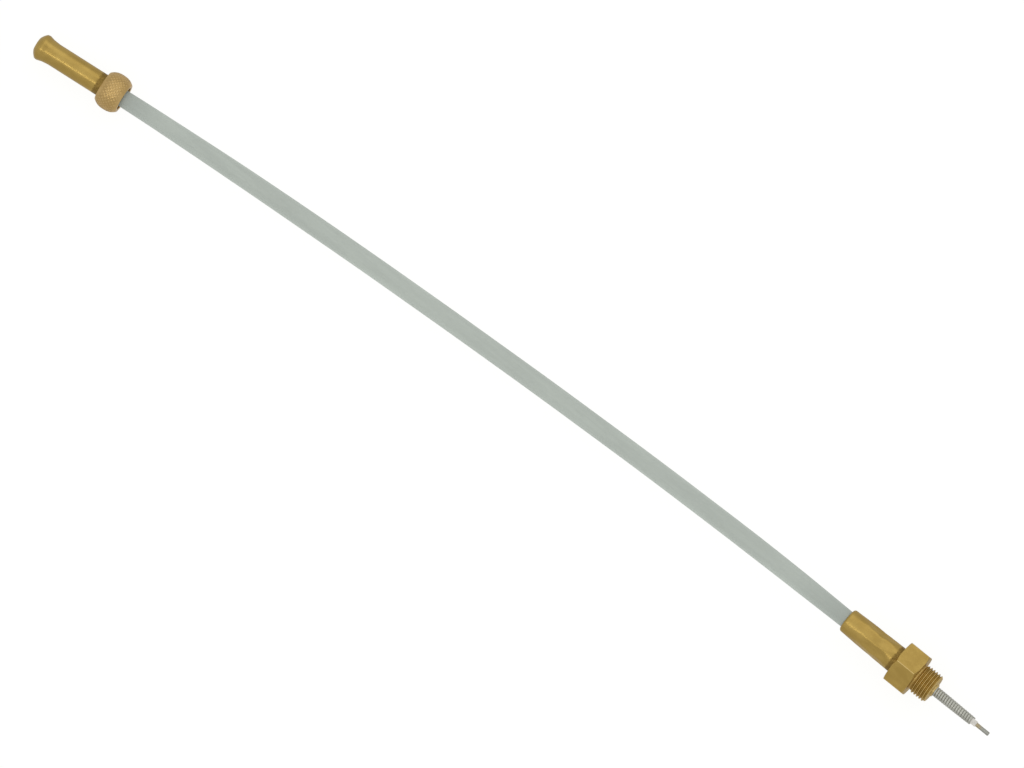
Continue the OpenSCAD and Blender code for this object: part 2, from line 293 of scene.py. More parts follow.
lead_line = smooth_route(
    [(SHEATH_PROBE_X, 0, 0)] + LEAD_ROUTE + [connector_origin + SHEATH_CONNECTOR_W * connector_way], 9)

SHEATH_RADII = [
    (LEAD_ROUTE[-1][0], SHEATH_CONNECTOR_R), (-290, SHEATH_CONNECTOR_R + 0.12),
    (-262, SHEATH_R - 0.12), (-234, SHEATH_R), (-64, SHEATH_R), (-46, SHEATH_R - 0.1),
    (-28, SHEATH_PROBE_R),
]


def make_sheath():
    """The extruded sheath, whose wall follows the turns of the steel liner very slightly."""
    sides = 64
    liner_pitch = 3.1
    ripple = 0.006
    unevenness = 0.018
    lump_len = 22
    bm = bmesh.new()
    outer, inner = [], []
    gone = 0.0
    for i, (centre, way) in enumerate(zip(lead_line, headings(lead_line))):
        if i:
            gone += (centre - lead_line[i - 1]).length
        across = Vector((0, 0, 1)).cross(way).normalized()
        rise = way.cross(across)
        radius = along(SHEATH_RADII, centre.x)
        # Only the length between the two ferrules is uneven
        free = smoothstep(-29, -36, centre.x) * smoothstep(-310, -300, centre.x)
        ring = []
        for angle in even_angles(sides):
            out = math.cos(angle) * across + math.sin(angle) * rise
            wave = ripple * math.cos(angle - TAU * gone / liner_pitch)
            lump = unevenness * noise.noise(Vector((gone / lump_len, 1.3 * out.y, 1.3 * out.z)))
            ring.append(centre + out * (radius + free * (wave + lump)))
        outer.append(ring)
        inner.append([centre + SHEATH_INNER_R * (math.cos(a) * across + math.sin(a) * rise)
                      for a in even_angles(sides)])
    add_patch(bm, outer + inner[::-1], loop=True)
    return make_piece("sheath_extrusion", bm, PROBE, 40)


# ---- Threads ----

# One turn of a metric thread: share of the pitch, and depth below the crest in pitches
THREAD_FORM = [
    (0, 0), (0.06, 0.004), (0.1, 0.025), (0.14, 0.08), (0.2, 0.19), (0.26, 0.3), (0.32, 0.41),
    (0.37, 0.49), (0.41, 0.53), (0.46, 0.55), (0.5, 0.553), (0.54, 0.55), (0.59, 0.53),
    (0.63, 0.49), (0.68, 0.41), (0.74, 0.3), (0.8, 0.19), (0.86, 0.08), (0.9, 0.025), (0.94, 0.004),
    (1, 0),
]
THREAD_DEPTH = 0.553


def add_thread(bm, start, end, crest_r, pitch, limits, angles, outward=1):
    """The surface of a screw thread from start to end. It follows the helix, so its crests are clean.
    limits gives the least and most radius at x, as at a chamfer or a relief groove."""
    crest_wear = 0.6
    crest_band = 0.03 * pitch
    around = angles + [angles[0] + TAU]
    first = math.floor(start / pitch) - 2
    last = math.ceil(end / pitch) + 1
    stations = [(turn + share) * pitch for turn in range(first, last) for share, _ in THREAD_FORM[:-1]]
    rings, recess = [], []
    for station in stations:
        ring, depths = [], []
        for angle in around:
            lead = pitch * angle / TAU
            x = min(max(station + lead, start), end)
            share = ((x - lead) / pitch) % 1.0
            depth = along(THREAD_FORM, share) * pitch
            least, most = limits(x)
            radius = min(max(crest_r - outward * depth, least), most)
            ring.append(on_axis(x, radius, angle))
            worn = outward > 0 and radius > min(crest_r, most) - crest_band
            # Groove depth: the finish darkens it with dirt and painted shade; worn crests go lighter.
            depths.append(-crest_wear if worn else smoothstep(0.15, 1.0, depth / (THREAD_DEPTH * pitch)))
        rings.append(ring)
        recess.append(depths)
    add_patch(bm, rings, recess, wrap=False)


# ---- Probe end ----

def hex_angles():
    """Angles round the hex, with extra ones that round off its six corners."""
    near = [0.0, 0.4, 0.8, 1.15]
    steps = near + [k * 1.5 for k in range(1, 40)] + [60 - s for s in near[:0:-1]]
    return [math.radians(HEX_CLOCK + 30 + 60 * corner + s) for corner in range(6) for s in steps]


def from_corner(angle):
    """How far an angle is from the hex's nearest corner."""
    return math.radians(30 - abs((math.degrees(angle) - HEX_CLOCK + 30) % 60 - 30))


def hex_radius(angle):
    """Distance from the axis to the hex's surface, with its corners slightly rounded."""
    corner_round = 0.25
    half = HEX_AF / 2
    away = from_corner(angle)
    flat = half / math.cos(math.radians(30) - away)
    centre = (half - corner_round) / math.cos(math.radians(30))
    inside = corner_round ** 2 - (centre * math.sin(away)) ** 2
    if inside <= 0:
        return flat
    return min(flat, centre * math.cos(away) + math.sqrt(inside))


def make_union():
    """The hex with its male thread, land and spigot: one turned and milled piece of brass."""
    relief_r = 4.37
    relief_len = 0.55
    thread_start = 0.2
    edge = 0.07
    chamfer_r = HEX_AF / 2 / math.cos(math.radians(30)) - HEX_CHAMFER
    angles = hex_angles()
    columns = []
    for angle in angles:
        r = hex_radius(angle)
        face_r = min(r - edge, chamfer_r)
        cut = (r - face_r) * HEX_CHAMFER_SLOPE
        columns.append(rounded([
            (thread_start, relief_r, 0), (0, relief_r, 0.08), (0, face_r, edge), (-cut, r, edge),
            (HEX_BACK + cut, r, edge), (HEX_BACK, face_r, edge), (HEX_BACK, LAND_R, 0.1),
            (LAND_BACK, LAND_R, 0.15), (LAND_BACK, SPIGOT_R, 0.1), (SPIGOT_BACK, SPIGOT_R, 0.1),
            (SPIGOT_BACK, SPIGOT_BORE_R, 0.1), (SPLICE_ROOM_BACK, SPIGOT_BORE_R, 0.05),
            (SPLICE_ROOM_BACK, SPLICE_ROOM_R, 0.05), (SEAT_STEP, SPLICE_ROOM_R, 0.05),
            (SEAT_STEP, GLAND_ROOM_R, 0.05), (THREAD_END, GLAND_ROOM_R, 0.15),
            (THREAD_END, relief_r, 0)], False, 3))
    corners = [(hex_radius(angle), smoothstep(math.radians(1.6), 0, from_corner(angle))) for angle in angles]
    rings, wear = [], []
    for i in range(len(columns[0])):
        rings.append([on_axis(column[i].x, column[i].y, angle) for column, angle in zip(columns, angles)])
        wear.append([-max(column[i].z, worn if column[i].y > r - 0.001 else 0.0)
                     for column, (r, worn) in zip(columns, corners)])
    bm = bmesh.new()
    add_patch(bm, rings, wear)

    def limits(x):
        return 0.0, relief_r + min(THREAD_END - x, max(x - relief_len, 0.0))

    add_thread(bm, thread_start, THREAD_END, THREAD_R, THREAD_PITCH, limits, angles)
    return make_piece("hex_union_body", bm, PROBE, 28)


def make_probe_ferrule():
    """Brass tube crimped on the sheath. The press has left eight uneven flats along its middle."""
    mouth_r = 4.0
    root_r = 4.4
    mouth_round = 0.9
    root_edge = 0.12
    flat_r = 4.06
    flat_turn = 37.5
    flat_width = 45
    bore_r = SHEATH_PROBE_R + 0.05
    mouth_parts = 8
    body_parts = 52
    stations = [FERRULE_BACK + mouth_round * (1 - math.cos(TAU / 4 * k / mouth_parts))
                for k in range(mouth_parts + 1)]
    body_len = HEX_BACK - root_edge - FERRULE_BACK - mouth_round
    stations += [FERRULE_BACK + mouth_round + body_len * k / body_parts for k in range(1, body_parts + 1)]

    def outer(x, angle):
        from_mouth = x - FERRULE_BACK
        plain = along([(mouth_round, mouth_r), (9, root_r - root_edge), (20.2, root_r)], from_mouth)
        if from_mouth < mouth_round:
            share = 1 - from_mouth / mouth_round
            plain -= mouth_round * (1 - math.sqrt(max(1 - share * share, 0.0)))
        lift = 0.55 * (1 - smoothstep(1.8, 4.4, from_mouth) * smoothstep(0.9, 5.2, HEX_BACK - x))
        sway = 3.2 * math.sin(0.62 * from_mouth + 0.8) + 1.6 * math.sin(1.7 * from_mouth)
        turn = (math.degrees(angle) - flat_turn - sway) % 360
        side = int((turn + flat_width / 2) % 360 // flat_width)
        from_flat = (turn + flat_width / 2) % flat_width - flat_width / 2
        dent = 0.05 * math.sin(2.4 * side + 0.5 * from_mouth)
        pressed = (flat_r + lift + dent) / math.cos(math.radians(from_flat))
        return soft_min(plain, pressed, 0.14)

    angles = even_angles(192)
    outer_rings = [[on_axis(x, outer(x, a), a) for a in angles] for x in stations]
    outer_rings.append([on_axis(HEX_BACK, root_r - root_edge, a) for a in angles])
    bore = rounded([(HEX_BACK, LAND_R, 0.05), (LAND_BACK, LAND_R, 0.05), (LAND_BACK, bore_r, 0.05),
                    (FERRULE_BACK, bore_r, 0.12)], True, 3)[4:]
    inner = [Vector((HEX_BACK, LAND_R))] + bore
    bm = bmesh.new()
    add_patch(bm, outer_rings + [[on_axis(p.x, p.y, a) for a in angles] for p in inner], loop=True)
    return make_piece("crimped_ferrule", bm, PROBE, 30)


SLEEVE_ROOT = 3.05
SLEEVE_END = 22.0
SLEEVE_RADII = [(SLEEVE_ROOT, 1.65), (12, 1.6), (20, 1.45), (SLEEVE_END, 1.4)]
SLEEVE_TURNS = 22
SLEEVE_WIRE = 0.42


def make_wound_sleeve():
    """Flat steel wire wound close round the insulator."""
    pitch = (SLEEVE_END - SLEEVE_ROOT) / SLEEVE_TURNS
    width = pitch - 0.03
    steps = 44
    section = rounded([(-width / 2, -SLEEVE_WIRE, 0.08), (-width / 2, -0.05, 0.16), (0, 0, 0.5),
                       (width / 2, -0.05, 0.16), (width / 2, -SLEEVE_WIRE, 0.08)], True, 2)
    first = SLEEVE_ROOT + pitch / 2
    turns = SLEEVE_TURNS - 1
    rings, recess = [], []
    for i in range(turns * steps + 1):
        angle = TAU * i / steps
        x = first + pitch * i / steps
        crest = along(SLEEVE_RADII, x) + 0.012 * noise.noise(Vector((0.8 * x, angle, 0)))
        rings.append([on_axis(x + p.x, crest + p.y, angle) for p in section])
        # How far down between the turns: the finish darkens it with dirt and painted shade.
        recess.append([smoothstep(0.04, 0.3, -p.y) for p in section])
    bm = bmesh.new()
    grid = add_patch(bm, rings, recess)
    bm.faces.new(grid[0])
    bm.faces.new(grid[-1][::-1])
    return make_piece("wound_wire", bm, PROBE, 50)


def make_nose_bush():
    sleeve_bore = 1.7
    ceramic_bore = 1.2
    return turned("nose_bush_ring", [
        (2.6, ceramic_bore, 0.03), (2.6, 2.88, 0.12), (6.42, 2.88, 0.1), (6.5, 2.2, 0.05),
        (7.1, 2.16, 0.16), (7.1, sleeve_bore, 0.06), (3, sleeve_bore, 0.03), (3, ceramic_bore, 0.03)],
        PROBE)


def make_ceramic():
    bore = 0.7
    return turned("ceramic_tube", [
        (-2.1, bore, 0.04), (-2.1, 1.5, 0.1), (-1, 1.5, 0.08), (-1, 2.6, 0.15), (1, 2.6, 0.15),
        (1, 1.15, 0.08), (12, 1.15, 2), (19.5, 0.95, 2), (23.3, 0.95, 0.14), (23.3, bore, 0.05)], PROBE)


def make_rod():
    """The sensing rod, with its edge worn round and its skin scaled by the flame."""
    back = -5.0
    tip = TIP_REACH - 0.001
    bare_from = 21
    per_mm = 4
    scale_depth = 0.008
    r = ROD_R - scale_depth
    bare = [(bare_from + k / per_mm, r, 0) for k in range(int(per_mm * (tip - 0.5 - bare_from)) + 1)]
    outline = rounded([(back, 0, 0), (back, r, 0.12)] + bare + [(tip, r, 0.24), (tip, 0, 0)], False, 6)
    rings = []
    for p in outline:
        ring = []
        for angle in even_angles(64):
            lump = noise.noise(Vector((p.x, 1.6 * math.cos(angle), 1.6 * math.sin(angle))))
            ring.append(on_axis(p.x, p.y * (1 + scale_depth / r * lump), angle))
        rings.append(ring)
    bm = bmesh.new()
    add_patch(bm, rings)
    return make_piece("sensing_rod", bm, PROBE, 50)


# ---- Connector end ----

def make_connector_ferrule():
    """The drawn ferrule with its domed, flared lip."""
    bore_angle = math.asin(LIP_BORE_R / LIP_DOME_R)
    rim_angle = math.asin((LIP_R - 0.12) / LIP_DOME_R)
    apex = LIP_DOME_R * math.cos(bore_angle)
    dome_parts = 14
    dome = []
    for k in range(dome_parts + 1):
        angle = bore_angle + (rim_angle - bore_angle) * k / dome_parts
        dome.append((apex - LIP_DOME_R * math.cos(angle), LIP_DOME_R * math.sin(angle), 0.1 if k else 0.12))
    return turned("domed_ferrule", dome + [
        (2.05, LIP_R - 0.03, 0.2), (2.35, LIP_R - 0.01, 0.2), (2.65, LIP_R - 0.07, 0.2),
        (3.2, CONNECTOR_R + 0.45, 0.4), (3.85, CONNECTOR_R + 0.27, 0.6), (5.15, CONNECTOR_R + 0.1, 2),
        (6.35, CONNECTOR_R, 2), (15, CONNECTOR_R, 0), (CONNECTOR_LEN, CONNECTOR_R, 0.35),
        (CONNECTOR_LEN, 2.75, 0.08), (3, 2.75, 0.05), (3, LIP_BORE_R, 0.05)], CONNECTOR, 144, 3)


def make_contact_insulator():
    return turned("contact_bush", [
        (0.9, 0.86, 0.06), (0.9, 2.15, 0.15), (3.05, 2.15, 0.03), (3.05, 2.7, 0.1), (13, 2.7, 0.1),
        (13, 1.3, 0.05), (3.4, 1.3, 0.05), (3.4, 0.86, 0.03)], CONNECTOR)


def make_plunger():
    return turned("contact_pin", [
        (0.3, 0, 0), (0.3, 0.5, 0.3), (0.65, 0.8, 0.3), (3.5, 0.8, 0.03), (3.5, 1.24, 0.06),
        (4.6, 1.24, 0.06), (4.6, 0.55, 0.04), (5.4, 0.55, 0.1), (5.4, 0, 0)], CONNECTOR, 64)


def make_spring():
    """The coil spring behind the contact, with its end turns closed up."""
    coil_r = 0.9
    wire_r = 0.11
    steps = 36
    turns = [(0, 4.73), (0.9, 4.96), (4.6, 8.14), (5.5, 8.37)]
    rings = []
    for i in range(int(turns[-1][0] * steps) + 1):
        x = along(turns, i / steps)
        rings.append([on_axis(x + wire_r * math.cos(a), coil_r + wire_r * math.sin(a), TAU * i / steps)
                      for a in even_angles(12)])
    bm = bmesh.new()
    grid = add_patch(bm, rings)
    bm.faces.new(grid[0])
    bm.faces.new(grid[-1][::-1])
    return make_piece("spring_coil", bm, CONNECTOR, 50)


def nut_outer(x):
    """The nut's barrel outline, without its knurl."""
    share = abs(2 * (x - NUT_FRONT) / (NUT_BACK - NUT_FRONT) - 1)
    return NUT_R - 0.01 - NUT_ROUNDING * share ** 2.6


def make_nut():
    """Barrel nut with a diamond knurl, a lead-in chamfer, a female thread and a rear wall."""
    diamonds = 30
    per_diamond = 8
    depth = 0.12
    plain_rim = 0.3
    fade_len = 1.0
    wear_and_glint_size = 1.4
    columns = diamonds * per_diamond
    angles = even_angles(columns)
    row = TAU * NUT_R / columns
    rows = int((NUT_BACK - NUT_FRONT - 2 * plain_rim) / row)
    first = (NUT_FRONT + NUT_BACK - rows * row) / 2
    last = first + rows * row
    rings, recess = [], []
    for i in range(rows + 1):
        x = first + i * row
        fade = smoothstep(first, first + fade_len, x) * smoothstep(last, last - fade_len, x)
        ring, depths = [], []
        for k, angle in enumerate(angles):
            left = abs(((i + k) / per_diamond) % 1.0 * 2 - 1)
            right = abs(((i - k) / per_diamond) % 1.0 * 2 - 1)
            groove = fade * smoothstep(0.45, 1.0, max(left, right))
            ring.append(on_axis(x, nut_outer(x) - depth * groove, angle))
            pad = fade * smoothstep(0.3, 0.0, max(left, right))
            # Patches of the diamond tops go lighter: worn brass, and painted glints as well; the grooves
            # between them are darkened with dirt and painted shade.
            spot = Vector((x, NUT_R * math.cos(angle), NUT_R * math.sin(angle)))
            wear_and_glint_mask = smoothstep(-0.25, 0.35, noise.noise(spot / wear_and_glint_size))
            depths.append(groove - (0.3 + 0.9 * wear_and_glint_mask) * pad)
        rings.append(ring)
        recess.append(depths)
    rear_wall = NUT_BACK - NUT_WALL
    relief_r = THREAD_R + 0.05
    lead_r = NUT_THREAD_MINOR_R + 0.2
    thread_start = NUT_FRONT + 0.05
    thread_end = rear_wall - 0.7
    front = rounded([(thread_start, lead_r, 0), (NUT_FRONT, lead_r + 0.05, 0.03),
                     (NUT_FRONT, nut_outer(NUT_FRONT), 0.06), (first, nut_outer(first), 0)], False, 3)
    back = rounded([(last, nut_outer(last), 0), (NUT_BACK, nut_outer(NUT_BACK), 0.15),
                    (NUT_BACK, NUT_HOLE_R, 0.12), (rear_wall, NUT_HOLE_R, 0.08),
                    (rear_wall, relief_r, 0.1), (thread_end, relief_r, 0)], False, 4)
    bm = bmesh.new()
    add_patch(bm, rings, recess)
    add_turned(bm, front, angles)
    add_turned(bm, back, angles)

    def limits(x):
        lead_in = lead_r - (x - thread_start)
        run_out = relief_r - (thread_end - x)
        return max(lead_in, run_out), lead_r + 0.6 * (x - thread_start)

    add_thread(bm, thread_start, thread_end, NUT_THREAD_MINOR_R - 0.03, THREAD_PITCH, limits, angles, -1)
    return make_piece("knurled_barrel", bm, CONNECTOR, 36)


# ---- Material building ----

class Nodes:
    """A new material with short calls for the nodes that the finishes share."""

    def __init__(self, name, place):
        self.material = bpy.data.materials.new(name)
        self.material.use_nodes = True
        self.tree = self.material.node_tree
        self.shader = self.tree.nodes["Principled BSDF"]
        source = self.add("ShaderNodeTexCoord")
        self.local = self.add("ShaderNodeMapping")
        self.local.vector_type = "TEXTURE"
        self.local.inputs["Location"].default_value = place.to_translation()
        self.local.inputs["Rotation"].default_value = place.to_euler()
        self.local.inputs["Scale"].default_value = place.to_scale()
        self.link(source.outputs["Object"], self.local.inputs["Vector"])

    def add(self, kind):
        return self.tree.nodes.new(kind)

    def link(self, output, target):
        self.tree.links.new(output, target)

    def stretched(self, x, y, z):
        """The place in millimetres, scaled along each axis."""
        node = self.add("ShaderNodeMapping")
        node.inputs["Scale"].default_value = (x, y, z)
        self.link(self.local.outputs["Vector"], node.inputs["Vector"])
        return node.outputs["Vector"]

    def noise(self, vector, scale, detail=3.0, roughness=0.5):
        node = self.add("ShaderNodeTexNoise")
        node.inputs["Scale"].default_value = scale
        node.inputs["Detail"].default_value = detail
        node.inputs["Roughness"].default_value = roughness
        self.link(vector, node.inputs["Vector"])
        return node.outputs["Fac"]

    def cells(self, vector, scale):
        node = self.add("ShaderNodeTexVoronoi")
        node.inputs["Scale"].default_value = scale
        self.link(vector, node.inputs["Vector"])
        return node.outputs["Distance"]

    def span(self, value, low, high, to_low=0.0, to_high=1.0):
        node = self.add("ShaderNodeMapRange")
        node.interpolation_type = "SMOOTHSTEP"
        for key, number in (("From Min", low), ("From Max", high), ("To Min", to_low), ("To Max", to_high)):
            node.inputs[key].default_value = number
        self.link(value, node.inputs["Value"])
        return node.outputs["Result"]

    def blend(self, share, first, second):
        """A colour between first and second. Each is a colour or a node's output."""
        node = self.add("ShaderNodeMix")
        node.data_type = "RGBA"
        for key, value in ((0, share), (6, first), (7, second)):
            if isinstance(value, (int, float)):
                node.inputs[key].default_value = value
            elif isinstance(value, tuple):
                node.inputs[key].default_value = (*value, 1.0)
            else:
                self.link(value, node.inputs[key])
        return node.outputs[2]

    def maths(self, kind, first, second):
        node = self.add("ShaderNodeMath")
        node.operation = kind
        for slot, value in zip(node.inputs, (first, second)):
            if isinstance(value, (int, float)):
                slot.default_value = value
            else:
                self.link(value, slot)
        return node.outputs[0]

    def recess(self):
        node = self.add("ShaderNodeAttribute")
        node.attribute_name = "recess"
        return node.outputs["Fac"]

    def station(self):
        """How far along the piece's own axis, in millimetres."""
        node = self.add("ShaderNodeSeparateXYZ")
        self.link(self.local.outputs["Vector"], node.inputs[0])
        return node.outputs[0]

    def bump(self, height, depth, before=None):
        """A bump of that depth in millimetres."""
        node = self.add("ShaderNodeBump")
        node.inputs["Strength"].default_value = 1.0
        node.inputs["Distance"].default_value = depth * MM
        self.link(height, node.inputs["Height"])
        if before is not None:
            self.link(before, node.inputs["Normal"])
        return node.outputs["Normal"]

    def set(self, **values):
        """Sets the shader's sockets: links a node's output, or writes a plain number or colour."""
        for key, value in values.items():
            socket = self.shader.inputs["IOR" if key == "ior" else key.replace("_", " ").title()]
            if isinstance(value, (int, float)):
                socket.default_value = value
            elif isinstance(value, tuple):
                socket.default_value = (*value, 1.0)
            else:
                self.link(value, socket)


def metal(name, place, tints, rough, turning=0.0, drawing=0.0, recess_grime_and_shade=0.6, painted_shade_band=None, grain=0.001):
    """A worn metal, with four tints: wear_and_glint, light, dark and grime_and_shade. It is lighter on its
    worn edges, and on the nut's knurl the lighter worn pads also stand for painted glints. It is darker and
    duller in its recesses, partly from dirt and partly as painted shade, and in painted_shade_band, a stretch
    (start, end) of its own axis where the brass carries a painted reflection of the part beside it.
    It carries turning marks round its axis, drawing marks along it, and a fine grain."""
    wear_and_glint, light, dark, grime_and_shade = tints
    n = Nodes(name, place)
    broad = n.noise(n.stretched(0.16, 0.3, 0.3), 1.0, 3)
    fine = n.noise(n.local.outputs["Vector"], 2.2, 4, 0.6)
    speck = n.noise(n.local.outputs["Vector"], 11.0, 2, 0.7)
    tint = n.blend(n.span(broad, 0.36, 0.64), light, dark)
    tint = n.blend(n.span(fine, 0.5, 0.75, 0.0, 0.35), tint, dark)
    tint = n.blend(n.span(speck, 0.62, 0.8, 0.0, 0.35), tint, grime_and_shade)
    # Worn edges and pads go lighter; on the nut's knurl this also paints glints.
    wear_and_glint_mask = n.maths("MULTIPLY", n.span(n.recess(), 0.0, -1.0), n.span(fine, 0.25, 0.6, 0.35, 1.0))
    tint = n.blend(wear_and_glint_mask, tint, wear_and_glint)
    deep = n.maths("MULTIPLY", n.span(n.recess(), 0.0, 1.0), recess_grime_and_shade)
    # A dark, duller band along the axis beside the hex or the nut: a painted reflection and shade of that
    # part.
    if painted_shade_band:
        ragged = n.maths("ADD", n.station(), n.span(fine, 0.25, 0.75, -0.2, 0.2))
        inside = n.maths("MULTIPLY", n.span(ragged, painted_shade_band[0] - 0.3, painted_shade_band[0] + 0.3),
                         n.span(ragged, painted_shade_band[1] + 0.3, painted_shade_band[1] - 0.3))
        deep = n.maths("MAXIMUM", deep, n.maths("MULTIPLY", inside, n.span(fine, 0.2, 0.8, 0.55, 0.85)))
    # Darkened in the grooves, partly as dirt and partly as painted shade, and in the painted reflection band.
    tint = n.blend(deep, tint, grime_and_shade)
    dull = n.maths("ADD", n.span(fine, 0.3, 0.7, rough - 0.05, rough + 0.07),
                   n.maths("MULTIPLY", deep, 0.2))
    normal = n.bump(speck, grain)
    if turning:
        rings = n.noise(n.stretched(9.0, 0.05, 0.05), 1.0, 4, 0.75)
        normal = n.bump(rings, turning, normal)
    if drawing:
        lines = n.noise(n.stretched(0.12, 5.0, 5.0), 1.0, 4, 0.7)
        normal = n.bump(lines, drawing, normal)
    n.set(base_color=tint, roughness=dull, metallic=1.0, normal=normal)
    return n.material


def sheath_plastic():
    """Satin grey extruded plastic with faint die lines, scuffs, and painted shade towards the ferrules."""
    n = Nodes("sheath_plastic", PROBE)
    broad = n.noise(n.stretched(0.03, 0.25, 0.25), 1.0, 3)
    cloud = n.noise(n.stretched(0.35, 0.8, 0.8), 1.0, 4, 0.6)
    lines = n.noise(n.stretched(0.02, 3.2, 3.2), 1.0, 3, 0.6)
    pores = n.noise(n.local.outputs["Vector"], 9.0, 3, 0.65)
    tint = n.blend(n.span(broad, 0.35, 0.65), (0.56, 0.62, 0.57), (0.52, 0.575, 0.53))
    tint = n.blend(n.span(cloud, 0.5, 0.8, 0.0, 0.35), tint, (0.47, 0.52, 0.48))
    tint = n.blend(n.span(lines, 0.52, 0.7, 0.0, 0.3), tint, (0.45, 0.5, 0.46))
    scuffs = n.span(n.noise(n.stretched(0.45, 3.4, 3.4), 1.0, 4, 0.7), 0.58, 0.7)
    tint = n.blend(n.maths("MULTIPLY", scuffs, 0.45), tint, (0.65, 0.7, 0.66))
    tint = n.blend(n.span(pores, 0.64, 0.78, 0.0, 0.45), tint, (0.32, 0.36, 0.33))
    # Painted shade: the sheath goes darker towards the mouths of both ferrules.
    station = n.station()
    by_probe = n.span(station, -52.0, -28.0)
    by_nut = n.span(station, -286.0, -304.0)
    ends = n.maths("MAXIMUM", by_probe, by_nut)
    tint = n.blend(n.maths("MULTIPLY", ends, 0.55), tint, (0.38, 0.42, 0.39))
    dull = n.maths("ADD", n.span(cloud, 0.3, 0.7, 0.34, 0.48), n.maths("MULTIPLY", scuffs, 0.16))
    normal = n.bump(pores, 0.01)
    normal = n.bump(lines, 0.02, normal)
    n.set(base_color=tint, roughness=dull, normal=normal, ior=1.48)
    return n.material


def rod_alloy():
    """Heat-resisting alloy: straw and brown where the flame has heated it, grey towards the tip."""
    n = Nodes("rod_alloy", PROBE)
    station = n.station()
    broad = n.noise(n.stretched(0.9, 1.6, 1.6), 1.0, 3)
    shifted = n.maths("ADD", station, n.span(broad, 0.2, 0.8, -0.5, 0.5))
    scale = n.noise(n.local.outputs["Vector"], 5.0, 4, 0.65)
    brown = n.blend(n.span(scale, 0.35, 0.65), (0.54, 0.47, 0.32), (0.42, 0.35, 0.22))
    grey = n.blend(n.span(scale, 0.35, 0.65), (0.47, 0.475, 0.43), (0.36, 0.365, 0.33))
    tint = n.blend(n.span(shifted, 24.3, 25.8), brown, grey)
    normal = n.bump(scale, 0.012)
    n.set(base_color=tint, roughness=n.span(scale, 0.3, 0.7, 0.36, 0.55), metallic=1.0, normal=normal)
    return n.material


def fired_ceramic():
    """Unglazed alumina: off-white, faintly warm, with fine grain and a few dark specks."""
    n = Nodes("fired_ceramic", PROBE)
    cloud = n.noise(n.local.outputs["Vector"], 0.9, 3)
    grain = n.noise(n.local.outputs["Vector"], 11.0, 4, 0.7)
    tint = n.blend(n.span(cloud, 0.35, 0.65), (0.84, 0.82, 0.77), (0.78, 0.755, 0.70))
    tint = n.blend(n.span(grain, 0.68, 0.8, 0.0, 0.5), tint, (0.45, 0.38, 0.3))
    normal = n.bump(grain, 0.01)
    n.set(base_color=tint, roughness=n.span(grain, 0.3, 0.7, 0.55, 0.72), normal=normal)
    return n.material


def polymer(name, place, light, dark, rough):
    """A moulded or extruded plastic with a faint cloud in its colour and a fine grain."""
    grain = 0.006
    n = Nodes(name, place)
    cloud = n.noise(n.local.outputs["Vector"], 0.5, 3)
    fine = n.noise(n.local.outputs["Vector"], 8.0, 3, 0.6)
    tint = n.blend(n.span(cloud, 0.35, 0.65), light, dark)
    tint = n.blend(n.span(fine, 0.62, 0.8, 0.0, 0.25), tint, dark)
    n.set(base_color=tint, roughness=n.span(cloud, 0.3, 0.7, rough - 0.06, rough + 0.06),
          normal=n.bump(fine, grain), ior=1.5)
    return n.material


def pressed_graphite():
    """Pressed graphite packing: dark flakes with a slight metallic gloss."""
    n = Nodes("pressed_graphite", PROBE)
    flakes = n.cells(n.stretched(1.0, 0.5, 0.5), 6.0)
    tint = n.blend(n.span(flakes, 0.1, 0.6), (0.05, 0.05, 0.055), (0.02, 0.02, 0.022))
    n.set(base_color=tint, roughness=n.span(flakes, 0.1, 0.6, 0.42, 0.7), normal=n.bump(flakes, 0.02))
    return n.material


# Tints in order: worn edges (on the nut also painted glints), light, dark, and dirt that also serves as
# painted shade.
BRASS = ((0.80, 0.60, 0.26), (0.57, 0.395, 0.112), (0.50, 0.34, 0.092), (0.2, 0.12, 0.03))
NUT_BRASS = ((0.92, 0.72, 0.40), (0.72, 0.495, 0.205), (0.62, 0.42, 0.165), (0.34, 0.22, 0.08))
CLEAN_BRASS = ((0.82, 0.65, 0.33), (0.72, 0.55, 0.24), (0.6, 0.44, 0.17), (0.2, 0.125, 0.035))
STEEL = ((0.8, 0.8, 0.76), (0.66, 0.665, 0.6), (0.53, 0.535, 0.48), (0.16, 0.16, 0.14))
COPPER = ((0.82, 0.52, 0.38), (0.72, 0.40, 0.26), (0.58, 0.29, 0.17), (0.2, 0.09, 0.05))

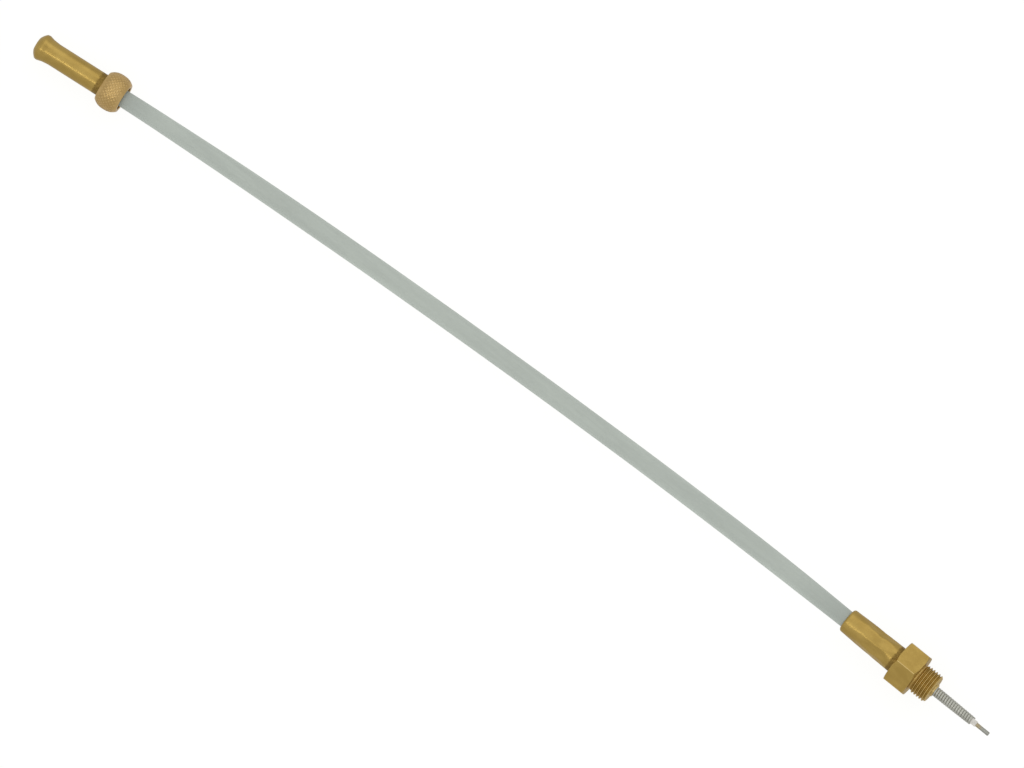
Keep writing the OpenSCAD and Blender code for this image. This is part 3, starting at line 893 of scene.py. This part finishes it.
finishes = {
    "union": metal("union_brass", PROBE, BRASS, 0.42, turning=0.003, recess_grime_and_shade=0.12),
    # The two ferrules carry a painted reflection of their neighbour as a dark band: the hex on the crimped
    # one, the nut on the drawn one.
    "probe_ferrule": metal("crimped_brass", PROBE, BRASS, 0.36, drawing=0.005, painted_shade_band=(-9.3, -7.0)),
    "bush": metal("bush_brass", PROBE, CLEAN_BRASS, 0.36, turning=0.006),
    "ferrule": metal("drawn_brass", CONNECTOR, BRASS, 0.3, drawing=0.0008, painted_shade_band=(22.3, 24.8),
                     grain=0.0003),
    "nut": metal("nut_brass", CONNECTOR, NUT_BRASS, 0.3, turning=0.003, recess_grime_and_shade=0.25),
    "contact": metal("contact_brass", CONNECTOR, CLEAN_BRASS, 0.2, turning=0.003),
    "splice": metal("splice_brass", PROBE, CLEAN_BRASS, 0.28, drawing=0.004),
    "sleeve": metal("wound_steel", PROBE, STEEL, 0.36, drawing=0.003, recess_grime_and_shade=0.4),
    "liner": metal("liner_steel", PROBE, STEEL, 0.4, turning=0.02),
    "spring": metal("spring_wire", CONNECTOR, STEEL, 0.24),
    "washer": metal("washer_steel", CONNECTOR, STEEL, 0.3, turning=0.004),
    "seal": metal("seal_copper", PROBE, COPPER, 0.4, turning=0.003),
    "conductor": metal("conductor_copper", PROBE, COPPER, 0.32, drawing=0.05),
    "sheath": sheath_plastic(),
    "rod": rod_alloy(),
    "ceramic": fired_ceramic(),
    "packing": pressed_graphite(),
    "core": polymer("core_polymer", PROBE, (0.74, 0.73, 0.68), (0.66, 0.65, 0.6), 0.4),
    "contact_bush": polymer("bush_polymer", CONNECTOR, (0.76, 0.75, 0.7), (0.68, 0.66, 0.6), 0.35),
}


# ---- Putting the object together ----

def fit_piece(piece, finish, body, slot, *nodes):
    """Gives a piece its finish and body, and hides the CAD nodes that it stands for. Its slot is not used."""
    piece.data.materials.append(finishes[finish])
    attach(piece, body)
    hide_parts(*nodes)
    return piece


def dress(node, finish):
    """Gives a CAD node that stays its finish."""
    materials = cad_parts[node].data.materials
    materials.clear()
    materials.append(finishes[finish])


MAIN = "probe_and_lead"
sheath = fit_piece(make_sheath(), "sheath", MAIN, "sheath", "outer_sheath")
fit_piece(make_union(), "union", MAIN, "brass", "hex_union")
fit_piece(make_probe_ferrule(), "probe_ferrule", MAIN, "brass", "probe_ferrule")
fit_piece(make_nose_bush(), "bush", MAIN, "brass", "nose_bush")
fit_piece(make_wound_sleeve(), "sleeve", MAIN, "wound_steel", "wound_sleeve")
fit_piece(make_ceramic(), "ceramic", MAIN, "ceramic", "ceramic_insulator")
fit_piece(make_rod(), "rod", MAIN, "electrode", "electrode_rod")
domed = fit_piece(make_connector_ferrule(), "ferrule", MAIN, "brass", "connector_ferrule")
bush = fit_piece(make_contact_insulator(), "contact_bush", MAIN, "insulation", "contact_insulator")
pin = fit_piece(make_plunger(), "contact", "contact", "contact_brass", "contact_plunger")
nut = fit_piece(make_nut(), "nut", "nut", "nut_brass", "knurled_nut")
spring = fit_piece(make_spring(), "spring", MAIN, "spring_steel", "contact_spring")
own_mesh(spring)

for node, finish in {
    "seat_ring": "seal", "gland_packing": "packing", "splice_crimp": "splice", "splice_sleeve": "core",
    "spiral_liner": "liner", "core_insulation": "core", "core_conductor": "conductor",
    "support_sleeve": "contact", "contact_terminal": "contact", "slip_washer": "washer",
}.items():
    dress(node, finish)


# ---- Floor and light ----

def make_floor():
    """A pale sheet that the probe lies on, lit from below like a light table."""
    half = 4.0
    level = cad_low.z - 0.00002
    mesh = bpy.data.meshes.new("floor")
    mesh.from_pydata([(-half, -half, level), (half, -half, level), (half, half, level), (-half, half, level)],
                     [], [(0, 1, 2, 3)])
    floor = bpy.data.objects.new("floor", mesh)
    bpy.context.scene.collection.objects.link(floor)
    material = bpy.data.materials.new("floor_sheet")
    material.use_nodes = True
    shader = material.node_tree.nodes["Principled BSDF"]
    shader.inputs["Base Color"].default_value = (0.12, 0.12, 0.12, 1)
    shader.inputs["Roughness"].default_value = 0.9
    shader.inputs["Specular IOR Level"].default_value = 0.0
    shader.inputs["Emission Color"].default_value = (1.0, 1.0, 0.99, 1)
    shader.inputs["Emission Strength"].default_value = 0.93
    mesh.materials.append(material)
    floor.visible_glossy = False


def area_light(name, place, size, power, aim=VIEW_TARGET):
    data = bpy.data.lights.new(name, "AREA")
    data.shape = "RECTANGLE"
    data.size, data.size_y = size
    data.energy = power
    light = bpy.data.objects.new(name, data)
    light.location = place
    light.rotation_mode = "QUATERNION"
    light.rotation_quaternion = (aim - Vector(place)).to_track_quat("-Z", "Y")
    bpy.context.scene.collection.objects.link(light)


def make_world():
    """Even grey surroundings, which the camera itself sees as the pale backdrop."""
    world = bpy.data.worlds.new("studio")
    world.use_nodes = True
    tree = world.node_tree
    around = tree.nodes["Background"]
    around.inputs["Color"].default_value = (1.0, 0.99, 0.97, 1)
    around.inputs["Strength"].default_value = 0.62
    seen = tree.nodes.new("ShaderNodeBackground")
    seen.inputs["Color"].default_value = (1, 1, 0.99, 1)
    seen.inputs["Strength"].default_value = 1.0
    path = tree.nodes.new("ShaderNodeLightPath")
    mix = tree.nodes.new("ShaderNodeMixShader")
    tree.links.new(path.outputs["Is Camera Ray"], mix.inputs[0])
    tree.links.new(around.outputs[0], mix.inputs[1])
    tree.links.new(seen.outputs[0], mix.inputs[2])
    tree.links.new(mix.outputs[0], tree.nodes["World Output"].inputs["Surface"])
    bpy.context.scene.world = world


make_floor()
make_world()
area_light("key", (-0.25, 1.1, 1.3), (1.8, 1.2), 2.6)
area_light("strip", (-0.2, -0.86, 1.46), (1.4, 0.2), 1.8)
area_light("top", (-0.2, -0.1, 1.7), (1.6, 1.0), 1.2)
bpy.context.scene.view_settings.view_transform = "Standard"
